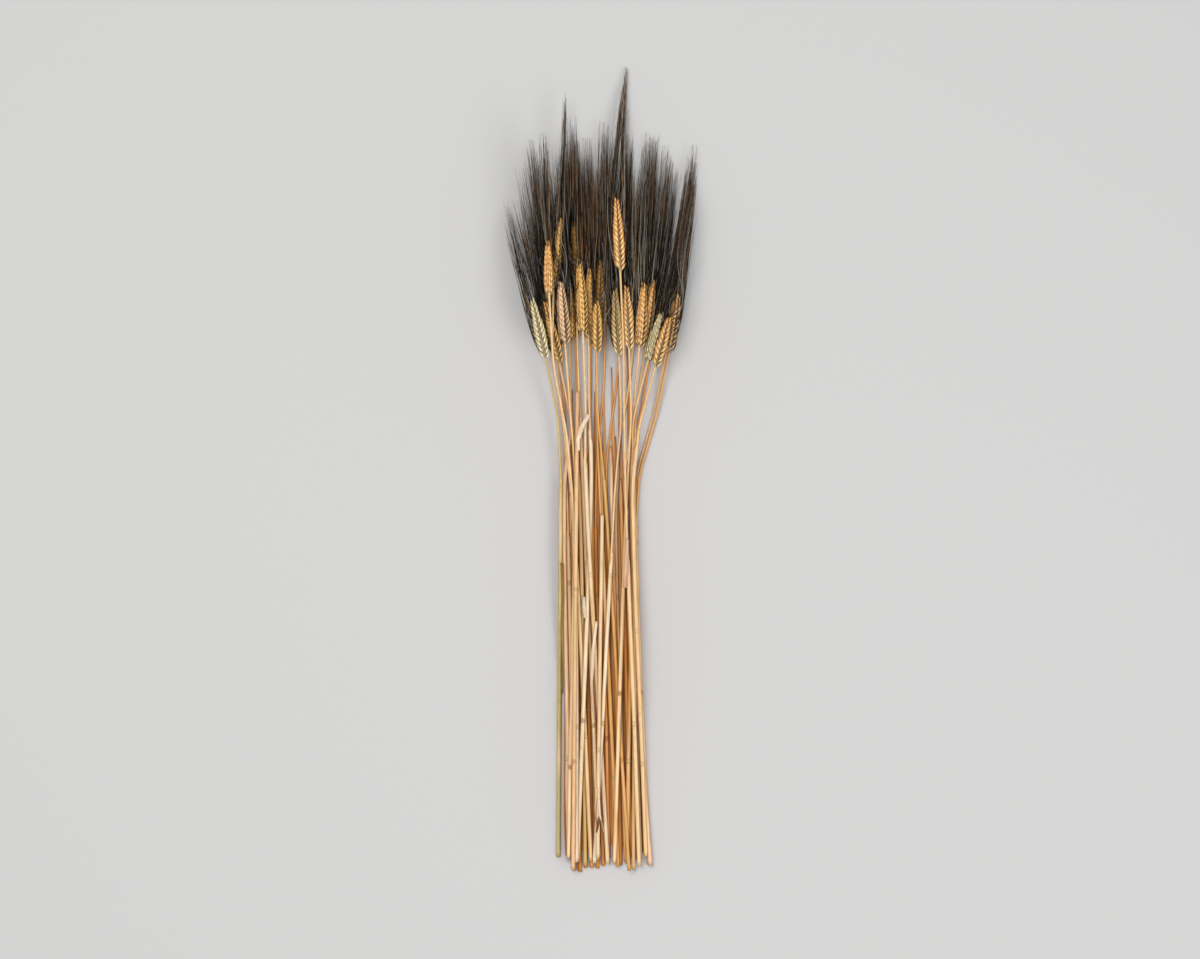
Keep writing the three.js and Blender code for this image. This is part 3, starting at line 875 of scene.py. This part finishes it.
def awn_path(husk, stalk, draw):
    """The middles of an awn's rings: up the keel of its husk, aside, and on with the tuft."""
    tip = husk.ridge(ON_KEEL[-1])
    top = stalk.awn_tip + LONGER.get(stalk.number, 0)
    longest = top - stalk.ear_tip.y
    end_y = min(tip.y + longest * draw.uniform(*AWN_REACH), top + PAST_TIP)
    beyond = (end_y - stalk.ear_tip.y) / longest
    start = stalk.ear_tip - stalk.ear_axis * ((stalk.ear_tip.y - tip.y) / stalk.ear_axis.y)
    out = tip - start
    angle = math.atan2(out.dot(stalk.face), out.dot(stalk.rank)) + draw.gauss(0, 1)
    shape = POINTED_TUFT if stalk.number in POINTED else WIDE_TUFT
    wide = np.interp(beyond, *zip(*shape)) * math.sqrt(draw.uniform(0.02, 1.2))
    offset = stalk.rank * (math.cos(angle) * wide)
    offset += stalk.face * (math.sin(angle) * wide * TUFT_FLATTENING)
    if draw.random() < STRAYS:
        offset.x *= STRAY_REACH
    aside = 0
    if out.z > 0:
        offset.z *= RAISED
        aside = math.copysign(PART * max(0, 1 - abs(out.x) / PART), out.x) * (1 - husk.share)
    end = stalk.ear_tip + stalk.tuft_way * (end_y - stalk.ear_tip.y)
    end += Vector((offset.x, 0, offset.z))
    edge = draw.uniform(0, EDGE_ROOM)
    end.x = min(max(end.x, cad_box[0][0] + edge), cad_box[1][0] - edge)
    way = Vector((husk.way.x, husk.way.y, husk.way.z * (RAISED if out.z > 0 else 1)))
    knee = tip + way * AWN_HANDLE + ACROSS * aside
    run = end - stalk.tuft_way.normalized() * (TUFT_HANDLE * (end - tip).length)
    run += Vector((draw.gauss(0, WAVER), 0, draw.gauss(0, WAVER / 2)))
    others = [
        other
        for other in TOP_STALKS
        if other is not stalk and (other.number not in VEILED or draw.random() < CLEAR_OF_VEILED)
    ]
    path = [husk.ridge(along) + husk.keel * 0.1 * MM for along in ON_KEEL]
    for ring in range(1, FREE_RINGS + 1):
        t = ring / FREE_RINGS
        bow = tip * (1 - t) ** 3 + knee * (3 * t * (1 - t) ** 2) + run * (3 * t * t * (1 - t))
        path.append(clear_of_ears(bow + end * t**3, end, others))
    return eased(path)


def clear_of_ears(place, end, stalks):
    """A place of an awn, moved where it would lie on the ear of one of those stalks.

    An awn that is a little above the ear dives under it. One that is far above it passes beside it,
    on the side where the awn ends.
    """
    for stalk in stalks:
        if not stalk.neck - EAR_FADE < place.y < stalk.ear_tip.y + EAR_FADE:
            continue
        share = (place.y - stalk.neck) / (stalk.ear_tip.y - stalk.neck)
        centre = stalk.ear_foot.lerp(stalk.ear_tip, min(max(share, 0), 1))
        past = max(stalk.neck - place.y, place.y - stalk.ear_tip.y, 0)
        near = 1 - step_up(abs(place.x - centre.x), *EAR_CLEAR)
        near *= 1 - step_up(past, 0, EAR_FADE)
        drop = place.z - max(centre.z - UNDER_EAR, 0.5 * MM)
        if drop > 0:
            beside = step_up(drop, *DEEPEST_DIVE)
            side = math.copysign(EAR_CLEAR[0], end.x - stalk.ear_tip.x)
            place.x += (centre.x + side - place.x) * near * beside
            place.z -= drop * near * (1 - beside)
    return place


def eased(path):
    """The same path, with its kinks rounded between its husk and its tip."""
    for _ in range(EASING):
        inner = [(a + b * 2 + c) / 4 for a, b, c in zip(path, path[1:], path[2:])]
        path = path[: len(ON_KEEL)] + inner[len(ON_KEEL) - 1 :] + path[-1:]
    return path


def build_awns(stalk, husks, settings, material):
    """The awns of one ear: each leaves its husk, steps aside and runs on with the tuft."""
    draw = random.Random(f"awns {SEED} {stalk.node}")
    nerve = ear_colours(stalk)[-1]
    bm, tint_layer = tinted_mesh()
    template = awn_template(bm, settings)
    last = len(ON_KEEL) + FREE_RINGS - 1
    for husk in husks + draw.choices(husks, k=settings.extra):
        path = awn_path(husk, stalk, draw)
        own, tip = awn_colours(draw, settings)
        for corner in copied_corners(bm, template):
            row = round(corner.co.y)
            corner.co = path[row] + Vector((corner.co.x, 0, corner.co.z))
            corner.co.z = max(corner.co.z, 0.2 * MM)
            tint = mixed(nerve, own, step_up(row, 1, len(ON_KEEL) + 1))
            corner[tint_layer] = mixed(tint, tip, step_up(row / last, 0.65, 1))
    bmesh.ops.delete(bm, geom=template, context="VERTS")
    piece = finish_piece(bm, f"awns_{stalk.number}", material)
    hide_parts(stalk.node)


def awn_colours(draw, settings):
    """The colour of an awn and of its tip: most are black, some are brown or tan, and the grey ones are
    painted highlight.
    """
    pick = draw.random()
    if pick < TAN_SHARE:
        own = mixed(settings.brown, settings.tan, draw.uniform(0.3, 0.9))
    elif pick < TAN_SHARE + BROWN_SHARE:
        own = mixed(settings.black, settings.brown, draw.uniform(0.3, 0.9))
    # painted highlight: a grey awn stands for a glint on a black one
    elif pick < TAN_SHARE + BROWN_SHARE + GREY_SHARE:
        own = mixed(settings.black, settings.grey, draw.uniform(0.3, 1))
    else:
        own = mixed(settings.black, settings.grey, draw.uniform(0, 0.04))
    return own, mixed(own, settings.brown, draw.uniform(0, 1) ** 2)


# ------------ scraps of leaf

# path: the places that a scrap passes, seen from above, from its root to its tip. wide: at its
# root, middle and tip. lift: how far its tip stands up. tints: at root and tip. Lengths in mm.
SCRAPS = {
    "torn_blade": {
        "path": ((-21, 18), (-21.5, 28), (-18.5, 38), (-13.5, 47), (-12, 50)),
        "wide": (2.6, 4.4, 3.2), "lift": 4, "tints": ("#FFE8C0", "#FBE2C8"),
    },
    "long_blade": {
        "path": ((-5, -134), (-8, -160), (-9.5, -190), (-7, -222)),
        "wide": (2.2, 3.6, 1), "lift": 0.6, "tints": ("#FFEACA", "#F2C8A0"),
    },
    "rolled_leaf": {
        "path": ((-36.3, -198), (-34.6, -170), (-35.6, -140), (-34.8, -110), (-35.8, -82)),
        "wide": (1.6, 2, 2.6), "lift": 0.6, "tints": ("#8E8446", "#9A6430"),
    },
    "split_sheath": {
        "path": ((-16.5, -112), (-16, -122), (-15.2, -131)),
        "wide": (2.6, 3.2, 2.8), "lift": 0.4, "tints": ("#EFE0C2", "#E8D6B4"),
    },
    "side_sheath": {
        "path": ((22.5, -60), (21.5, -85), (20.5, -104)),
        "wide": (2.2, 4.2, 3.8), "lift": 0.5, "tints": ("#E8B890", "#DDA680"),
    },
    "splinter_long": {
        "path": ((-5, -282), (-6, -300), (-5, -318)),
        "wide": (2.6, 2, 0.5), "lift": 2, "tints": ("#E6C48E", "#B07838"),
    },
    "splinter_dark": {
        "path": ((-2, -308), (-4, -314), (-5, -322)),
        "wide": (2.4, 3.2, 0.8), "lift": 2.4, "tints": ("#8A5A2C", "#4E2E14"),
    },
    "splinter_pale": {
        "path": ((-3, -292), (-2, -306), (1.5, -322)),
        "wide": (2, 1.8, 0.6), "lift": 2.4, "tints": ("#F4E2C4", "#EBD8BC"),
    },
}
SCRAP_SIDES = 8
SCRAP_RINGS = 25
SCRAP_THICKNESS = 0.22 * MM
SCRAP_CUP = 0.22  # how far its edges curl up, as a share of its width
SCRAP_GAP = 0.3 * MM
PHOTO_MIDDLE = (1.9, 3.9)  # where the scraps' places are counted from, in the frame, mm

LOW_LEAVES = 17
LOW_LEAF_FEET = (-29 * MM, 40 * MM)  # x of the first and of the last at their roots
LOW_LEAF_TOPS = (-29 * MM, 28 * MM)  # and at their tips
LOW_LEAF_ROOTS = (-343 * MM, -328 * MM)  # y of their roots
LOW_LEAF_ENDS = ((-40 * MM, 40 * MM), (60 * MM, 120 * MM))  # y of the tips of the short and the long
# half width, by share of a leaf's length
LOW_LEAF_SHAPE = ((0, 2 * MM), (0.1, 3.4 * MM), (0.75, 2.2 * MM), (1, 0.6 * MM))
# partly painted shade: a dry leaf colour deepened so that the gaps between the straws above read dark
# and warm
LOW_LEAF_TINTS = (colour("#E8A85C"), colour("#BC7422"))
LEAF_HEIGHT = 0.4 * MM


def top_of_straws(x, y):
    """How high the uppermost straw is at that place, seen from above."""
    top = 0
    for stalk in STALKS:
        if not stalk.foot < y < stalk.neck:
            continue
        centre = stalk.place(y)
        radius = np.interp(y, stalk.ring_y, stalk.ring_radius)
        if abs(x - centre.x) < radius:
            top = max(top, centre.z + math.sqrt(radius**2 - (x - centre.x) ** 2))
    return top


def leaf_strip(name, middles, wide, tints, twist, material):
    """A thin strip of leaf, cupped a little, along its middles and their half widths."""
    bm, tint_layer = tinted_mesh()
    last = len(middles) - 1
    for row, ring in enumerate(rolled_tube(bm, SCRAP_SIDES, len(middles) + 2)):
        at = min(max(row - 1, 0), last)
        ahead = middles[min(at + 1, last)] - middles[max(at - 1, 0)]
        side = ahead.cross(UP).normalized()
        up = side.cross(ahead).normalized()
        turn = twist * at / last
        turned = side * math.cos(turn) + up * math.sin(turn)
        raised = up * math.cos(turn) - side * math.sin(turn)
        half, thick = (wide[at], SCRAP_THICKNESS / 2) if 0 < row < last + 2 else (0, 0)
        tint = mixed(*tints, at / last)
        for corner, angle in ring:
            across = half * math.cos(angle)
            high = SCRAP_CUP * across**2 / wide[at] + thick * math.sin(angle)
            corner.co = middles[at] + turned * across + raised * high
            corner.co.z = max(corner.co.z, 0)
            corner[tint_layer] = shaded(tint, 1 - 0.15 * abs(math.cos(angle)))
    closed(bm)
    finish_piece(bm, name, material)


def build_scrap(name, scrap, material):
    """A torn strip of leaf or sheath that lies on the uppermost straws."""
    way = (np.array(scrap["path"]) + PHOTO_MIDDLE) * MM
    stops = np.linspace(0, 1, len(way))
    shares = np.linspace(0, 1, SCRAP_RINGS)
    xs, ys = (np.interp(shares, stops, way[:, i]) for i in (0, 1))
    wide = np.interp(shares, [0, 0.5, 1], [w * MM / 2 for w in scrap["wide"]])
    tops = [max(top_of_straws(x + w * s, y) for s in (-1, 0, 1)) for x, y, w in zip(xs, ys, wide)]
    tops = np.array([max(tops[max(i - 2, 0) : i + 3]) for i in range(SCRAP_RINGS)])
    tops = np.convolve(np.pad(tops, 2, "edge"), np.ones(5) / 5, "valid")
    lifts = SCRAP_GAP + scrap["lift"] * MM * shares**3
    middles = [Vector(place) for place in zip(xs, ys, tops + lifts)]
    twist = random.Random(f"{SEED} {name}").uniform(-0.5, 0.5)
    tints = [colour(code) for code in scrap["tints"]]
    leaf_strip(name, middles, wide, tints, twist, material)


def build_low_leaves(material):
    """The long dry leaves under the straws, side by side on the table."""
    draw = random.Random(f"leaves {SEED}")
    feet = np.linspace(*LOW_LEAF_FEET, LOW_LEAVES)
    tops = np.linspace(*LOW_LEAF_TOPS, LOW_LEAVES)
    for i, (foot, top) in enumerate(zip(feet, tops)):
        start = Vector((foot, draw.uniform(*LOW_LEAF_ROOTS), LEAF_HEIGHT))
        end = Vector((top, draw.uniform(*LOW_LEAF_ENDS[i % 2]), LEAF_HEIGHT))
        shares = np.linspace(0, 1, SCRAP_RINGS)
        bend = draw.uniform(-1, 1) * MM
        middles = [start.lerp(end, t) + ACROSS * (bend * math.sin(9 * t)) for t in shares]
        wide = np.interp(shares, *zip(*LOW_LEAF_SHAPE))
        tint = mixed(*LOW_LEAF_TINTS, draw.random())
        leaf_strip(f"low_leaf_{i + 1:02d}", middles, wide, (tint, tint), 0, material)


# ------------ stage

CAMERA_AIM = Vector((0, -0.0037, 0.02))
SENSOR_WIDTH = 36  # mm
TABLE_SIZE = 12
SOFTBOX_WIDTH = 1.8
ROOM_LIGHT = 0.42


def add_soft_light(name, place, power, tint):
    """A square softbox that faces the bundle."""
    light = bpy.data.lights.new(name, "AREA")
    light.size = SOFTBOX_WIDTH
    light.energy = power
    light.color = tint[:3]
    box = new_object(name, light)
    box.location = place
    box.rotation_euler = (-Vector(place)).to_track_quat("-Z", "Y").to_euler()


def build_stage(stage):
    """The table, the light and the camera, which looks straight down."""
    scene = bpy.context.scene
    scene.view_settings.view_transform = "Standard"
    bm = bmesh.new()
    bmesh.ops.create_grid(bm, x_segments=2, y_segments=2, size=TABLE_SIZE / 2)
    table = mesh_object(bm, "table", table_material(stage.table))
    table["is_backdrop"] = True

    camera = new_object("camera", bpy.data.cameras.new("camera"))
    camera.data.lens = stage.lens
    camera.data.sensor_width = SENSOR_WIDTH
    camera.location = CAMERA_AIM + UP * (stage.view_width * stage.lens / SENSOR_WIDTH)
    scene.camera = camera

    add_soft_light("window", (-0.8, 0.5, 3.4), 62, colour("#FFFDFB"))
    add_soft_light("far window", (1.9, -1.5, 3.0), 48, colour("#FDFDFF"))
    world = bpy.data.worlds.new("room")
    world.use_nodes = True
    background = world.node_tree.nodes["Background"]
    background.inputs["Color"].default_value = colour("#F4F4F6")
    background.inputs["Strength"].default_value = ROOM_LIGHT
    scene.world = world


# ------------ operators and panel


class WHEAT_OT_add_straws(bpy.types.Operator):
    """Add the straw of every stalk"""

    bl_idname = "wheat.add_straws"
    bl_label = "Add Straws"

    def execute(self, context):
        material = straw_material()
        for stalk in STALKS:
            build_straw(stalk, context.scene.wheat_straw, material)
        return {"FINISHED"}


class WHEAT_OT_add_ears(bpy.types.Operator):
    """Add the ear of every stalk that has one, with its awns"""

    bl_idname = "wheat.add_ears"
    bl_label = "Add Ears and Awns"

    def execute(self, context):
        chaff, bristles = husk_material(), awn_material()
        for stalk in STALKS:
            if stalk.has_ear:
                husks = build_ear(stalk, context.scene.wheat_ear, chaff)
                build_awns(stalk, husks, context.scene.wheat_awn, bristles)
        return {"FINISHED"}


class WHEAT_OT_add_scraps(bpy.types.Operator):
    """Add the torn leaves and sheaths on the straws, and the leaves under them"""

    bl_idname = "wheat.add_scraps"
    bl_label = "Add Leaves"

    def execute(self, context):
        material = straw_material()
        for name, scrap in SCRAPS.items():
            build_scrap(name, scrap, material)
        build_low_leaves(material)
        return {"FINISHED"}


class WHEAT_OT_add_stage(bpy.types.Operator):
    """Add the table, the light and the camera"""

    bl_idname = "wheat.add_stage"
    bl_label = "Add Stage"

    def execute(self, context):
        build_stage(context.scene.wheat_stage)
        return {"FINISHED"}


class WHEAT_PT_bundle(bpy.types.Panel):
    """The bundle's settings and its pieces"""

    bl_idname = "WHEAT_PT_bundle"
    bl_label = "Dried Wheat Bundle"
    bl_space_type = "VIEW_3D"
    bl_region_type = "UI"
    bl_category = "Wheat"

    def draw(self, context):
        for name, operators in PANEL_ROWS:
            settings = getattr(context.scene, name)
            box = self.layout.box()
            for key in settings.__annotations__:
                box.prop(settings, key)
            for operator in operators:
                box.operator(operator)


SETTINGS = {
    "wheat_straw": StrawSettings,
    "wheat_ear": EarSettings,
    "wheat_awn": AwnSettings,
    "wheat_stage": StageSettings,
}
PANEL_ROWS = (
    ("wheat_straw", ("wheat.add_straws", "wheat.add_scraps")),
    ("wheat_ear", ()),
    ("wheat_awn", ("wheat.add_ears",)),
    ("wheat_stage", ("wheat.add_stage",)),
)
CLASSES = (
    *SETTINGS.values(),
    WHEAT_OT_add_straws,
    WHEAT_OT_add_ears,
    WHEAT_OT_add_scraps,
    WHEAT_OT_add_stage,
    WHEAT_PT_bundle,
)


def register():
    for cls in CLASSES:
        bpy.utils.register_class(cls)
    for name, cls in SETTINGS.items():
        setattr(bpy.types.Scene, name, PointerProperty(type=cls))


def unregister():
    for name in SETTINGS:
        delattr(bpy.types.Scene, name)
    for cls in reversed(CLASSES):
        bpy.utils.unregister_class(cls)


def main():
    register()
    bpy.ops.wheat.add_stage()
    bpy.ops.wheat.add_straws()
    bpy.ops.wheat.add_ears()
    bpy.ops.wheat.add_scraps()
    boxes = {"cad": cad_box, "visual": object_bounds()}
    {name: [list(corner) for corner in box] for name, box in boxes.items()}


if __name__ == "__main__":
    main()
